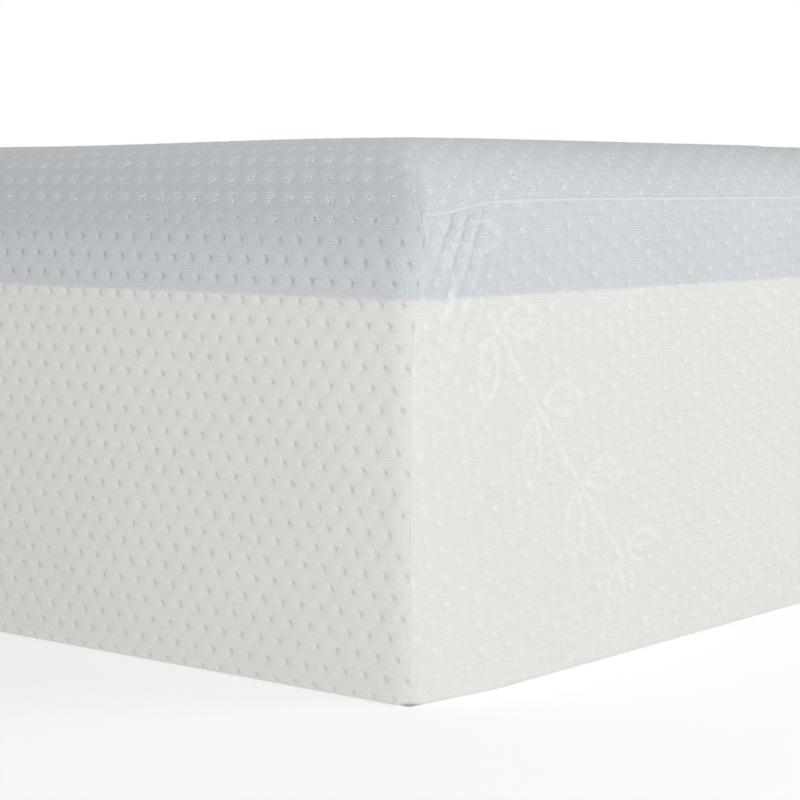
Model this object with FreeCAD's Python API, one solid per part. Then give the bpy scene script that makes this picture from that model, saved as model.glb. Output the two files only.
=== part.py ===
"""A single memory foam mattress: two bonded foam layers in a zipped knitted cover.

The long sides face -Y (front) and +Y (rear, with the zip), and the ends face +X (right) and -X (left).
The origin is at the middle of the underside, +Z is up, and all sizes are millimetres.
"""

import FreeCAD, Part
import os

V = FreeCAD.Vector

# Driving dimensions of the whole mattress.
LENGTH = 1900.0
WIDTH = 900.0
CORE_THICKNESS = 130.0
MEMORY_THICKNESS = 50.0
CLOTH = 1.5
HEIGHT = CORE_THICKNESS + MEMORY_THICKNESS + 2 * CLOTH

# Rounding of the covered block.
TOP_RADIUS = 24.0
BOTTOM_RADIUS = 6.0
CORNER_RADIUS = 8.0

# Bond between the foam layers.
FILM_THICKNESS = 0.3
FILM_INSET = 12.0

# Seams between the cover's panels.
SEAM_WIDTH = 1.6
SEAM_PROUD = 0.8
END_SEAM_HEIGHT = 162.4
END_PANEL_DEPTH = 7.0
CORNER_SEAM_INSET = 3.2
BASE_SEAM_INSET = 2.6
BASE_SEAM_WIDTH = 1.2

# Zip in the rear side.
ZIP_Z = 19.0
ZIP_WINDOW_HEIGHT = 13.0
ZIP_WINDOW_LENGTH = 1850.0
FLANGE_DEPTH = 14.0
TAPE_WIDTH = 12.0
TAPE_THICKNESS = 0.6
TAPE_SETBACK = 0.1
TAPE_OVERRUN = 6.0
GROOVE_PLAY = 0.4
GROOVE_LENGTH = 1890.0
CHAIN_GAP = 1.4
COIL_WIDTH = 2.2
COIL_THICKNESS = 2.2
COIL_LENGTH = 1828.0
STOP_LENGTH = 3.0
STOP_OVERLAP = 0.3
STOP_ROUNDING = 0.5
STITCH_THICKNESS = 0.4
STITCH_FROM_EDGE = 2.5
BARTACK_LENGTH = 2.0
BARTACK_FROM_WINDOW = 3.6

# Slider and its pull tab.
SLIDER_LENGTH = 13.0
SLIDER_NOSE_WIDTH = 11.0
SLIDER_TAIL_WIDTH = 9.4
SLIDER_REST_X = -905.0
SLIDER_ROUNDING = 1.6
WING_THICKNESS = 1.2
WING_CLEARANCE = 0.3
FLANGE_SETBACK = 2.0
FLANGE_WIDTH = 1.2
POST_WIDTH = 1.1
POST_LENGTH = 2.4
BRIDGE_LENGTH = 8.0
BRIDGE_WIDTH = 2.2
BRIDGE_OPENING = (5.2, 1.9)
BRIDGE_TOP = 1.2
BRIDGE_ROUNDING = 1.0
TAB_LENGTH = 28.0
TAB_WIDTH = 8.0
TAB_NECK_WIDTH = 6.0
TAB_THICKNESS = 1.2
TAB_SHOULDER = 7.0
TAB_TIP_ROUNDING = 3.0
TAB_SLOT = (4.6, 3.2)
TAB_BAR_RADIUS = 0.7

# Blank sewn-on care label, on the left end.
LABEL_SIZE = (70.0, 45.0)
LABEL_CENTRE = (330.0, 60.0)
LABEL_THICKNESS = 0.4
LABEL_STITCH_INSET = 4.0
LABEL_STITCH_WIDTH = 0.6

MARGIN = 5.0
REAR = WIDTH / 2
END = LENGTH / 2


def span(x, y, z):
    """A box from three (low, high) pairs."""
    low, high = V(x[0], y[0], z[0]), V(x[1], y[1], z[1])
    size = high - low
    return Part.makeBox(size.x, size.y, size.z, low)


def edges_along(shape, axis):
    """The straight edges of a shape that run along one axis."""
    return [e for e in shape.Edges if abs(getattr(e.tangentAt(e.FirstParameter), axis)) > 0.99]


def rounded_profile(half_width, z_low, z_high, top_radius, bottom_radius):
    """The closed outline of a block seen from one side, with round top and bottom corners, as (across, z) edges."""
    w = half_width
    edges = []

    def line(a, b):
        edges.append(Part.LineSegment(V(a[0], 0, a[1]), V(b[0], 0, b[1])).toShape())

    def arc(centre, radius, side_x, side_z):
        bend = radius * 2 ** -0.5
        start = V(centre[0] + side_x * radius, 0, centre[1])
        middle = V(centre[0] + side_x * bend, 0, centre[1] + side_z * bend)
        end = V(centre[0], 0, centre[1] + side_z * radius)
        edges.append(Part.Arc(start, middle, end).toShape())

    for side in (-1, 1):
        line((side * w, z_low + bottom_radius), (side * w, z_high - top_radius))
        arc((side * (w - top_radius), z_high - top_radius), top_radius, side, 1)
        arc((side * (w - bottom_radius), z_low + bottom_radius), bottom_radius, side, -1)
    line((-w + top_radius, z_high), (w - top_radius, z_high))
    line((-w + bottom_radius, z_low), (w - bottom_radius, z_low))
    return Part.Wire(Part.__sortEdges__(edges))


def covered_block(inset=0.0):
    """The mattress's outer form, moved in by inset on its sides, ends, top and bottom."""
    z_low, z_high = inset, HEIGHT - inset
    half_length, half_width = END - inset, REAR - inset
    top, bottom = TOP_RADIUS - inset, BOTTOM_RADIUS - inset
    corner = CORNER_RADIUS - inset

    along_y = Part.Face(rounded_profile(half_length, z_low, z_high, top, bottom))
    along_y.translate(V(0, -half_width, 0))
    across_ends = along_y.extrude(V(0, 2 * half_width, 0))

    along_x = Part.Face(rounded_profile(half_width, z_low, z_high, top, bottom))
    along_x.rotate(V(0, 0, 0), V(0, 0, 1), 90)
    along_x.translate(V(-half_length, 0, 0))
    across_sides = along_x.extrude(V(2 * half_length, 0, 0))

    plan = Part.makeBox(
        2 * half_length, 2 * half_width, z_high - z_low, V(-half_length, -half_width, z_low)
    )
    rounded = plan.makeFillet(corner, edges_along(plan, "z"))
    return rounded.common(across_ends).common(across_sides)


def mirrored_in_x(shape):
    """The same piece on the other end."""
    return shape.mirror(V(0, 0, 0), V(1, 0, 0))


def end_field(grow=0.0):
    """The space of the right end panel: its face and the start of the round corners beside it."""
    half = REAR - CORNER_SEAM_INSET + grow
    return span((END - END_PANEL_DEPTH, END + MARGIN), (-half, half), (0, END_SEAM_HEIGHT + grow))


def base_field(grow=0.0):
    """The space of the base panel, up to the lower edges."""
    half_x, half_y = END - BASE_SEAM_INSET + grow, REAR - BASE_SEAM_INSET + grow
    return span((-half_x, half_x), (-half_y, half_y), (-MARGIN, BOTTOM_RADIUS))


def rear_flange_field(grow=0.0):
    """The space where the base panel turns up the rear side as far as the zip."""
    half = ZIP_WINDOW_LENGTH / 2 + grow
    top = ZIP_Z - ZIP_WINDOW_HEIGHT / 2
    return span((-half, half), (REAR - FLANGE_DEPTH, REAR + MARGIN), (-MARGIN, top))


def zip_window():
    """The opening between the main panel and the base panel's flange."""
    half = ZIP_WINDOW_LENGTH / 2 + SEAM_WIDTH
    low, high = ZIP_Z - ZIP_WINDOW_HEIGHT / 2, ZIP_Z + ZIP_WINDOW_HEIGHT / 2
    return span((-half, half), (REAR - FLANGE_DEPTH, REAR + MARGIN), (low, high))


def cover_panels(shell):
    """The main, base and two end panels, cut from one shell so that their edges meet at the seams."""
    right = shell.common(end_field()).cut(base_field(BASE_SEAM_WIDTH))
    base = shell.common(base_field().fuse(rear_flange_field()))
    right_space = end_field(SEAM_WIDTH)
    spaces = [
        right_space,
        mirrored_in_x(right_space),
        base_field(BASE_SEAM_WIDTH),
        rear_flange_field(SEAM_WIDTH),
        zip_window(),
    ]
    return {
        "cover_main_panel": shell.cut(spaces),
        "cover_base_panel": base,
        "cover_end_panel_right": right,
        "cover_end_panel_left": mirrored_in_x(right),
    }


def seams(shell, inner):
    """The sewn ridges that join the panels: one round each end panel, and one round the base."""
    base_ring = base_field(BASE_SEAM_WIDTH).cut(base_field())
    zip_half = ZIP_WINDOW_LENGTH / 2 + SEAM_WIDTH
    zip_side = span((-zip_half, zip_half), (0, REAR + MARGIN), (-MARGIN, HEIGHT))

    proud = covered_block(-SEAM_PROUD).cut(inner)
    end_ring = end_field(SEAM_WIDTH).cut(end_field())
    right = proud.common(end_ring).cut(base_field(BASE_SEAM_WIDTH))
    return {
        "end_seam_right": right,
        "end_seam_left": mirrored_in_x(right),
        "base_seam": shell.common(base_ring).cut(zip_side),
    }


def foam(inner):
    """The support core, the adhesive film on it and the memory layer on top, with a groove for the zip."""
    split = CLOTH + CORE_THICKNESS
    film_low, film_high = split - FILM_THICKNESS / 2, split + FILM_THICKNESS / 2
    everywhere = (-LENGTH, LENGTH)
    core = inner.common(span(everywhere, everywhere, (-MARGIN, film_low)))
    memory = inner.common(span(everywhere, everywhere, (film_high, HEIGHT + MARGIN)))

    groove_x = (-GROOVE_LENGTH / 2, GROOVE_LENGTH / 2)
    tape_reach = CHAIN_GAP / 2 + TAPE_WIDTH + GROOVE_PLAY
    tape_groove = span(
        groove_x,
        (tape_face() - TAPE_THICKNESS - GROOVE_PLAY, REAR),
        (ZIP_Z - tape_reach, ZIP_Z + tape_reach),
    )
    slider_reach = SLIDER_NOSE_WIDTH / 2 + GROOVE_PLAY
    slider_groove = span(
        groove_x,
        (inner_wing_back() - GROOVE_PLAY, REAR),
        (ZIP_Z - slider_reach, ZIP_Z + slider_reach),
    )
    core = core.cut([tape_groove, slider_groove])

    half_x, half_y = END - CLOTH - FILM_INSET, REAR - CLOTH - FILM_INSET
    film = span((-half_x, half_x), (-half_y, half_y), (film_low, film_high))
    return {"support_core": core, "adhesive_film": film, "memory_layer": memory}


def tape_face():
    """Y of the zip tapes' outward face, just behind the cloth."""
    return REAR - CLOTH - TAPE_SETBACK


def inner_wing_back():
    """Y of the back of the slider's inner wing, behind the tapes."""
    return tape_face() - TAPE_THICKNESS - WING_CLEARANCE - WING_THICKNESS


def zip_chain():
    """The two tapes, the two coils on them, the end stops, the sewing and the bar tacks."""
    pieces = {}
    tape_back = tape_face() - TAPE_THICKNESS
    half_tape = ZIP_WINDOW_LENGTH / 2 + TAPE_OVERRUN
    half_coil = COIL_LENGTH / 2
    half_window = ZIP_WINDOW_HEIGHT / 2
    for name, side in (("upper", 1), ("lower", -1)):
        near, far = ZIP_Z + side * CHAIN_GAP / 2, ZIP_Z + side * (CHAIN_GAP / 2 + TAPE_WIDTH)
        coil_far = near + side * COIL_WIDTH
        pieces["zip_tape_" + name] = span(
            (-half_tape, half_tape), (tape_back, tape_face()), sorted((near, far))
        )
        pieces["zip_coil_" + name] = span(
            (-half_coil, half_coil),
            (tape_face(), tape_face() + COIL_THICKNESS),
            sorted((near, coil_far)),
        )
        row = ZIP_Z + side * (half_window + STITCH_FROM_EDGE)
        pieces["zip_stitching_" + name] = span(
            (-half_coil, half_coil),
            (REAR, REAR + STITCH_THICKNESS),
            (row - STITCH_THICKNESS, row + STITCH_THICKNESS),
        )

    stop_half = CHAIN_GAP / 2 + COIL_WIDTH + STOP_OVERLAP
    stop = span(
        (half_coil, half_coil + STOP_LENGTH),
        (tape_face(), tape_face() + COIL_THICKNESS + STOP_OVERLAP),
        (ZIP_Z - stop_half, ZIP_Z + stop_half),
    )
    stop = stop.makeFillet(STOP_ROUNDING, stop.Edges)
    pieces["zip_stop_right"] = stop
    pieces["zip_stop_left"] = mirrored_in_x(stop)

    tack_x = ZIP_WINDOW_LENGTH / 2 + BARTACK_FROM_WINDOW
    tack = span(
        (tack_x, tack_x + BARTACK_LENGTH),
        (REAR, REAR + STITCH_THICKNESS),
        (ZIP_Z - half_window, ZIP_Z + half_window),
    )
    pieces["zip_bartacks"] = Part.makeCompound([tack, mirrored_in_x(tack)])
    return pieces


def slider_wing(y_low):
    """One plate of the slider, wide at its nose and narrow at its tail."""
    nose_x, tail_x = -SLIDER_LENGTH / 2, SLIDER_LENGTH / 2
    nose, tail = SLIDER_NOSE_WIDTH / 2, SLIDER_TAIL_WIDTH / 2
    corners = [(nose_x, -nose), (0, -nose), (tail_x, -tail), (tail_x, tail), (0, nose), (nose_x, nose)]
    outline = Part.makePolygon([V(x, y_low, z) for x, z in corners + corners[:1]])
    plate = Part.Face(outline).extrude(V(0, WING_THICKNESS, 0))
    ends = [e for e in edges_along(plate, "y") if abs(e.CenterOfMass.x) > SLIDER_ROUNDING]
    return plate.makeFillet(SLIDER_ROUNDING, ends)


def slider_levels():
    """Y of the outer wing's inner face and outer face."""
    low = tape_face() + COIL_THICKNESS + WING_CLEARANCE
    return low, low + WING_THICKNESS


def zip_slider():
    """The cast slider: an inner and an outer wing joined by the post at the nose, side flanges and the bridge."""
    outer_low, outer_high = slider_levels()
    inner_low = inner_wing_back()
    body = slider_wing(outer_low).fuse(slider_wing(inner_low))

    post = span(
        (-SLIDER_LENGTH / 2, -SLIDER_LENGTH / 2 + POST_LENGTH),
        (inner_low + WING_THICKNESS / 2, outer_low + WING_THICKNESS / 2),
        (-POST_WIDTH / 2, POST_WIDTH / 2),
    )
    body = body.fuse(post)
    half_flange = SLIDER_LENGTH / 2 - FLANGE_SETBACK
    for side in (-1, 1):
        edge = side * (SLIDER_TAIL_WIDTH - WING_CLEARANCE) / 2
        flange = span(
            (-half_flange, half_flange),
            (tape_face() + WING_CLEARANCE, outer_low + WING_THICKNESS / 2),
            sorted((edge, edge - side * FLANGE_WIDTH)),
        )
        body = body.fuse(flange)

    opening_length, opening_height = BRIDGE_OPENING
    bridge_top = outer_high + opening_height + BRIDGE_TOP
    bridge = span(
        (-BRIDGE_LENGTH / 2, BRIDGE_LENGTH / 2),
        (outer_high - WING_THICKNESS / 2, bridge_top),
        (-BRIDGE_WIDTH / 2, BRIDGE_WIDTH / 2),
    )
    crown = [e for e in edges_along(bridge, "z") if e.CenterOfMass.y > outer_high]
    bridge = bridge.makeFillet(BRIDGE_ROUNDING, crown)
    opening = span(
        (-opening_length / 2, opening_length / 2),
        (outer_high, outer_high + opening_height),
        (-BRIDGE_WIDTH, BRIDGE_WIDTH),
    )
    body = body.fuse(bridge.cut(opening)).removeSplitter()
    body.translate(V(SLIDER_REST_X, 0, ZIP_Z))
    return body


def pull_axis_y():
    """Y of the pull tab's bar, in the middle of the bridge's opening."""
    return slider_levels()[1] + BRIDGE_OPENING[1] / 2


def pull_tab():
    """The flat tab, whose bar lies under the slider's bridge and whose slot goes round it."""
    y_low = pull_axis_y() - TAB_THICKNESS / 2
    neck, wide = TAB_NECK_WIDTH / 2, TAB_WIDTH / 2
    right_side = [(0, -neck), (TAB_SHOULDER, -neck), (TAB_LENGTH, -wide)]
    corners = right_side + [(x, -z) for x, z in reversed(right_side)]
    outline = Part.makePolygon([V(x, y_low, z) for x, z in corners + corners[:1]])
    tab = Part.Face(outline).extrude(V(0, TAB_THICKNESS, 0))
    tip = [e for e in edges_along(tab, "y") if e.CenterOfMass.x > TAB_SHOULDER + 1]
    tab = tab.makeFillet(TAB_TIP_ROUNDING, tip)
    slot_length, slot_width = TAB_SLOT
    slot = span((-1, slot_length), (y_low - 1, y_low + TAB_THICKNESS + 1), (-slot_width / 2, slot_width / 2))
    bar = Part.makeCylinder(TAB_BAR_RADIUS, TAB_NECK_WIDTH, V(0, pull_axis_y(), -neck), V(0, 0, 1))
    tab = tab.cut(slot).fuse(bar).removeSplitter()
    tab.translate(V(SLIDER_REST_X, 0, ZIP_Z))
    return tab


def care_label():
    """The blank label on the left end, and the stitching round its edge."""
    face = -END
    half_y, half_z = LABEL_SIZE[0] / 2, LABEL_SIZE[1] / 2
    y, z = LABEL_CENTRE

    def plate(inset, low, high):
        return span(
            (face - high, face - low),
            (y - half_y + inset, y + half_y - inset),
            (z - half_z + inset, z + half_z - inset),
        )

    top = LABEL_THICKNESS + STITCH_THICKNESS
    stitch = plate(LABEL_STITCH_INSET, LABEL_THICKNESS, top)
    stitch = stitch.cut(plate(LABEL_STITCH_INSET + LABEL_STITCH_WIDTH, 0, 2 * top))
    return {"care_label": plate(0, 0, LABEL_THICKNESS), "care_label_stitching": stitch}


def build():
    """Every node of the mattress, by name."""
    inner = covered_block(CLOTH)
    shell = covered_block().cut(inner)
    nodes = {}
    nodes.update(foam(inner))
    nodes.update(cover_panels(shell))
    nodes.update(seams(shell, inner))
    nodes.update(zip_chain())
    nodes.update(care_label())
    nodes["zip_slider_body"] = zip_slider()
    nodes["zip_pull_tab"] = pull_tab()
    return nodes


def main():
    os.makedirs("parts", exist_ok=True)
    for name, shape in build().items():
        solids = shape.Solids
        sound = solids and all(s.isValid() and s.isClosed() and s.Volume > 0 for s in solids)
        size = shape.BoundBox
        print(
            f"{name}: {len(solids)} solid(s), {shape.Volume / 1000:.2f} cm3, "
            f"{size.XLength:.1f} x {size.YLength:.1f} x {size.ZLength:.1f} mm"
            f"{'' if sound else '  NOT SOUND'}"
        )
        (solids[0] if len(solids) == 1 else Part.makeCompound(solids)).exportStep(f"parts/{name}.step")


main()
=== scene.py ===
"""The looks of a memory foam mattress: foam, knitted cover, seams, zip, label and a studio to show it in."""

import math

import bmesh
import bpy
import numpy as np
from bpy.props import FloatProperty, FloatVectorProperty, IntProperty, PointerProperty
from mathutils import Matrix, Vector


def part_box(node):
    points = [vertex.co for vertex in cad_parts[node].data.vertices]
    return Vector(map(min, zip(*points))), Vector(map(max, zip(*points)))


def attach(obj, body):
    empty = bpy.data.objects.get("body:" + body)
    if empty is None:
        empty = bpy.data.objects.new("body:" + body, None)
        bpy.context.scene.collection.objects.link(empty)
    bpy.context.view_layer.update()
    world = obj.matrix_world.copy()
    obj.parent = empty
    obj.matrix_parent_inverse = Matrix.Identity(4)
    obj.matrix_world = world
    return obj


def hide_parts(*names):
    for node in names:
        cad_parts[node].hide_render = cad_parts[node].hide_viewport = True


bl_info = {
    "name": "Memory Foam Mattress",
    "version": (1, 0, 0),
    "blender": (4, 5, 0),
    "location": "3D View > Sidebar > Mattress",
    "description": "Builds a foam mattress with a zipped, knitted cover round its packed frame",
    "category": "Object",
}

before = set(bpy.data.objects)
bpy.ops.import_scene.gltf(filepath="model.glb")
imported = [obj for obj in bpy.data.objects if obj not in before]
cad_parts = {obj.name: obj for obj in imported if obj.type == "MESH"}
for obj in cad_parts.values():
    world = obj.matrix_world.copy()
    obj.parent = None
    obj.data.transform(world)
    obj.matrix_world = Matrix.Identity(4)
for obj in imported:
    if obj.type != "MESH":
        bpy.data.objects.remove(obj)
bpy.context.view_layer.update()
MM = 0.001
TAU = 2 * math.pi

# Places read from the frame.
CORE_LOW, CORE_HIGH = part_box("support_core")
MEMORY_LOW, MEMORY_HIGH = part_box("memory_layer")
PANEL_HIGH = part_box("cover_main_panel")[1]
END_PANEL_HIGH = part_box("cover_end_panel_right")[1]
CLOTH = PANEL_HIGH.z - MEMORY_HIGH.z
END = MEMORY_HIGH.x + CLOTH
SIDE = MEMORY_HIGH.y + CLOTH
TOP = PANEL_HIGH.z
SEAM_Z = END_PANEL_HIGH.z + 0.8 * MM
FOAM_SPLIT = (CORE_HIGH.z + MEMORY_LOW.z) / 2
UPPER_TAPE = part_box("zip_tape_upper")
LOWER_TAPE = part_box("zip_tape_lower")
UPPER_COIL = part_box("zip_coil_upper")
LOWER_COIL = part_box("zip_coil_lower")
ZIP_Z = (UPPER_TAPE[0].z + LOWER_TAPE[1].z) / 2
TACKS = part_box("zip_bartacks")
WINDOW_LOW, WINDOW_HIGH = TACKS[0].z, TACKS[1].z
WINDOW_END = UPPER_TAPE[1].x - 7 * MM

# How the cloth is cut and laid.
BOTTOM_RADIUS = 3 * MM
BASE_WRAP = math.radians(24)
PANEL_FOOT = BOTTOM_RADIUS * (1 - math.cos(BASE_WRAP))
CORNER_REACH = 15 * MM
SEAM_REACH = 25 * MM
CORNER_SEAM_LOW = 2.8 * MM
CORNER_SEAM_HIGH = 6.7 * MM
CORNER_SEAM_TURN = 95 * MM
DIP_WIDTH = 30 * MM
SEAM_SINK = 0.15 * MM
SEAM_PULL = 1.5 * MM
SEAM_BEHIND = 0.45 * MM
PUCKER_DEPTH = 0.7 * MM
PUCKER_WIDTH = 2.4 * MM
TOE_SPREAD = 45 * MM
TOE_HEIGHT = 100 * MM
TOE_REACH = 40 * MM
CREST_EDGE = 0.65 * MM
CREST_MIDDLE = 0.4 * MM
CREST_FALL = 1.5 * MM
NEAR_LENGTH = 218 * MM
NEAR_WIDTH = 252 * MM
WIDE_CELL = 26 * MM
NEAR_CELL = 9 * MM
ROUND_CELLS = 8
END_TURN = 33.5 * MM
PUFF_FADE = 4 * MM
BULGE_FADE = 30 * MM
PLAIN_LEVEL = -0.4

# The foam's slack in the cover, and the stitches of one bar tack.
FOAM_GAP = 1.2 * MM
TACK_STITCHES = 26
TACK_SLANT = math.radians(14)

# The dimples repeat on these two steps of the cloth, in millimetres.
SIDE_DIMPLES = ((8.6, 0.0), (3.45, -6.75))
END_DIMPLES = ((-4.18, 7.37), (-4.91, -6.39))
DIMPLE_SLANT = math.radians(-62)
KNOT_SIZE = 0.95
DIMPLE_SHIFT = 2.7 * MM
COURSE_PITCH = 0.85
SKEW_WIDTH = 13.5 * MM

# The folds gathered under the end seam near its corners, in millimetres.
GATHER_PITCH = 8.5
GATHER_START = 23.5
GATHER_MIDDLE = 26.0
GATHER_SPREAD = 16.0
GATHER_DEPTH = 22.0
SLACK_PITCH = 17.0
SLACK_MIDDLE = 60.0
SLACK_SPREAD = 30.0

# The woven sprigs: their slope, and the sizes of stem and leaves in millimetres. Each cloth has the
# place of its first sprig and the two distances at which they repeat.
STEM_SLOPE = math.radians(-49.9)
STEM_LENGTH = 168.0
STEM_FOOT = 18.0
SPRIG_HALF_WIDTH = 27.0
LEAF_SPACING = 37.0
LEAF_LEAN = math.radians(48)
LEAF_OUT = 12.5
LEAF_FLATNESS = 9.4
LEAF_ARC = 14.6
MAIN_SPRIGS = ((118.0, 260.0), (430.0, 390.0))
END_SPRIGS = ((14.0 - SIDE / MM, 157.0), (430.0, 400.0))


def measure(name, description, millimetres):
    """A length that the sidebar shows."""
    return FloatProperty(name=name, description=description, default=millimetres * MM, unit="LENGTH")


def colour(name, description, default):
    """A colour that the sidebar shows."""
    return FloatVectorProperty(
        name=name, description=description, default=default, size=3, subtype="COLOR", min=0, max=1
    )


class MattressSizes(bpy.types.PropertyGroup):
    top_radius: measure("Top rounding", "Radius of the upper edges", 24)
    corner_radius: measure("Corner rounding", "Radius of the upright corners", 8)
    seam_dip: measure("Seam dip", "How far the end seam drops at a corner", 4.5)
    puff: measure("Puff", "Height of the cloth between dimples", 0.8)
    bulge: measure("Bulge", "How far the sides swell outwards", 1.0)
    toe: measure("Toe", "How far the foot of each end is pressed outwards", 5)
    gather: measure("Gathers", "Height of the folds at the end seam's corners", 1.9)
    rib_pitch: measure("Rib pitch", "Distance between the knit's ribs", 0.97)
    welt: measure("Seam welt", "Radius of the turned seams", 0.8)
    tooth_pitch: measure("Zip pitch", "Distance between the zip's loops", 1.5)
    stitch_pitch: measure("Stitch pitch", "Distance between stitches", 3.2)
    fine_cuts: IntProperty(
        name="Fine cuts",
        description="Cuts in each cloth cell near the front right corner",
        default=9,
        min=1,
        max=12,
    )


class MattressColours(bpy.types.PropertyGroup):
    over_core: colour("Cloth on core", "Cover where cream foam lies behind it", (0.784, 0.77, 0.743))
    over_memory: colour("Cloth on memory", "Cover where blue foam shows through it", (0.623, 0.653, 0.677))
    base_cloth: colour("Base cloth", "Plain cloth under the mattress", (0.70, 0.69, 0.67))
    memory_foam: colour("Memory foam", "Upper foam layer", (0.42, 0.62, 0.78))
    core_foam: colour("Core foam", "Lower foam layer", (0.84, 0.79, 0.66))
    thread: colour("Thread", "Sewing thread", (0.82, 0.82, 0.79))
    zip_nylon: colour("Zip nylon", "Coils of the zip", (0.80, 0.80, 0.77))
    zip_metal: colour("Zip metal", "Slider, tab and stops", (0.62, 0.62, 0.61))
    label: colour("Label", "Blank woven label", (0.86, 0.86, 0.84))


# ---------------------------------------------------------------- shader maths


class Wire:
    """One shader value. Arithmetic on it adds the Math nodes that work it out."""

    def __init__(self, paint, socket):
        self.paint, self.socket = paint, socket

    def math(self, operation, *others):
        return self.paint.node("ShaderNodeMath", {"operation": operation}, dict(enumerate((self, *others))))

    def flipped(self, operation, other):
        return self.paint.node("ShaderNodeMath", {"operation": operation}, {0: other, 1: self})

    def __add__(self, other):
        return self.math("ADD", other)

    def __sub__(self, other):
        return self.math("SUBTRACT", other)

    def __mul__(self, other):
        return self.math("MULTIPLY", other)

    def __truediv__(self, other):
        return self.math("DIVIDE", other)

    def __pow__(self, other):
        return self.math("POWER", other)

    def __abs__(self):
        return self.math("ABSOLUTE")

    def __rsub__(self, other):
        return self.flipped("SUBTRACT", other)

    def __rtruediv__(self, other):
        return self.flipped("DIVIDE", other)

    __radd__ = __add__
    __rmul__ = __mul__

    def ramp(self, low, high):
        """From 0 at low to 1 at high, with soft ends."""
        limits = {"Value": self, "From Min": low, "From Max": high}
        return self.paint.node("ShaderNodeMapRange", {"interpolation_type": "SMOOTHSTEP"}, limits)

    def wave(self, period):
        """A cosine of that period."""
        return (self * (TAU / period)).math("COSINE")

    def nearest(self, period=1.0):
        """The distance to the nearest whole number of periods, with its sign."""
        return ((self / period + 0.5).math("FRACT") - 0.5) * period

    def bell(self, width):
        """A bell curve of that width about 0."""
        return (self * self * (-0.5 / width**2)).math("EXPONENT")


def rgba(colour):
    """A colour as a node wants it: a link, or four numbers."""
    return colour if isinstance(colour, Wire) else (*colour, 1.0)


class Paint:
    """One material and the nodes that make it."""

    def __init__(self, name):
        self.material = bpy.data.materials.new(name)
        self.material.use_nodes = True
        self.tree = self.material.node_tree
        self.tree.nodes.clear()

    def node(self, kind, settings=None, inputs=None, out=0):
        """Adds one node, makes its settings, fills its sockets, and gives the output asked for."""
        made = self.tree.nodes.new(kind)
        for name, value in (settings or {}).items():
            setattr(made, name, value)
        for name, value in (inputs or {}).items():
            if isinstance(value, Wire):
                self.tree.links.new(value.socket, made.inputs[name])
            else:
                made.inputs[name].default_value = value
        return Wire(self, made.outputs[out]) if made.outputs else None

    def millimetres(self, vector):
        """A vector in metres made one in millimetres."""
        return self.node("ShaderNodeMapping", inputs={"Vector": vector, "Scale": (1 / MM,) * 3})

    def place(self):
        """The point on the piece, in millimetres, as a vector."""
        return self.millimetres(self.node("ShaderNodeTexCoord", out="Object"))

    def split(self, vector):
        """The vector's parts."""
        return [self.node("ShaderNodeSeparateXYZ", inputs={0: vector}, out=i) for i in range(3)]

    def cloth_place(self):
        """The point on the flat cloth, in millimetres, as two values and as a vector."""
        vector = self.millimetres(self.node("ShaderNodeUVMap", {"uv_map": "cloth"}))
        across, along, _ = self.split(vector)
        return across, along, vector

    def noise(self, vector, size, detail=2.0):
        """Soft noise from 0 to 1, with features of that size in the vector's units."""
        return self.node("ShaderNodeTexNoise", inputs={"Vector": vector, "Scale": 1 / size, "Detail": detail})

    def shade(self, factor, first, second, blend="MIX"):
        """A colour between two colours."""
        settings = {"data_type": "RGBA", "blend_type": blend}
        return self.node("ShaderNodeMix", settings, {0: factor, 6: rgba(first), 7: rgba(second)}, out=2)

    def dim(self, tint, factor):
        """The colour made darker or lighter by a factor."""
        grey = self.node("ShaderNodeCombineXYZ", inputs={0: factor, 1: factor, 2: factor})
        return self.shade(1.0, tint, grey, "MULTIPLY")

    def finish(self, tint, roughness, height=None, depth=MM, **constants):
        """Joins the colour, roughness and height, in units of depth, to the surface."""
        inputs = {"Base Color": rgba(tint), "Roughness": roughness}
        inputs.update({name.replace("_", " "): value for name, value in constants.items()})
        if height is not None:
            inputs["Normal"] = self.node("ShaderNodeBump", inputs={"Distance": depth, "Height": height})
        surface = self.node("ShaderNodeBsdfPrincipled", inputs=inputs)
        self.node("ShaderNodeOutputMaterial", inputs={"Surface": surface})
        return self.material


def dimples(across, along, steps):
    """The nearest dimple of the cloth: the point's two offsets from it, in millimetres."""
    (ax, ay), (bx, by) = steps
    area = ax * by - ay * bx
    first = (across * (by / area) - along * (bx / area)).nearest()
    second = (along * (ax / area) - across * (ay / area)).nearest()
    return first * ax + second * bx, first * ay + second * by


def leaf_outline(along, across):
    """Pairs of leaves on a stem, repeated along it, drawn as a line: 1 on the line and 0 off it."""
    base = along.nearest(LEAF_SPACING)
    out = abs(across) - LEAF_OUT
    turned = base * math.cos(LEAF_LEAN) + out * math.sin(LEAF_LEAN)
    beside = abs(out * math.cos(LEAF_LEAN) - base * math.sin(LEAF_LEAN))
    flank = beside + LEAF_FLATNESS
    edge = (turned * turned + flank * flank) ** 0.5 - LEAF_ARC
    leaf = 1 - abs(edge).ramp(0.8, 1.6)
    rib = (1 - beside.ramp(0.2, 0.65)) * (1 - edge.ramp(-1.6, -1.0))
    stem = 1 - abs(across).ramp(0.7, 1.5)
    return leaf.math("MAXIMUM", stem).math("MAXIMUM", rib)


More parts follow.
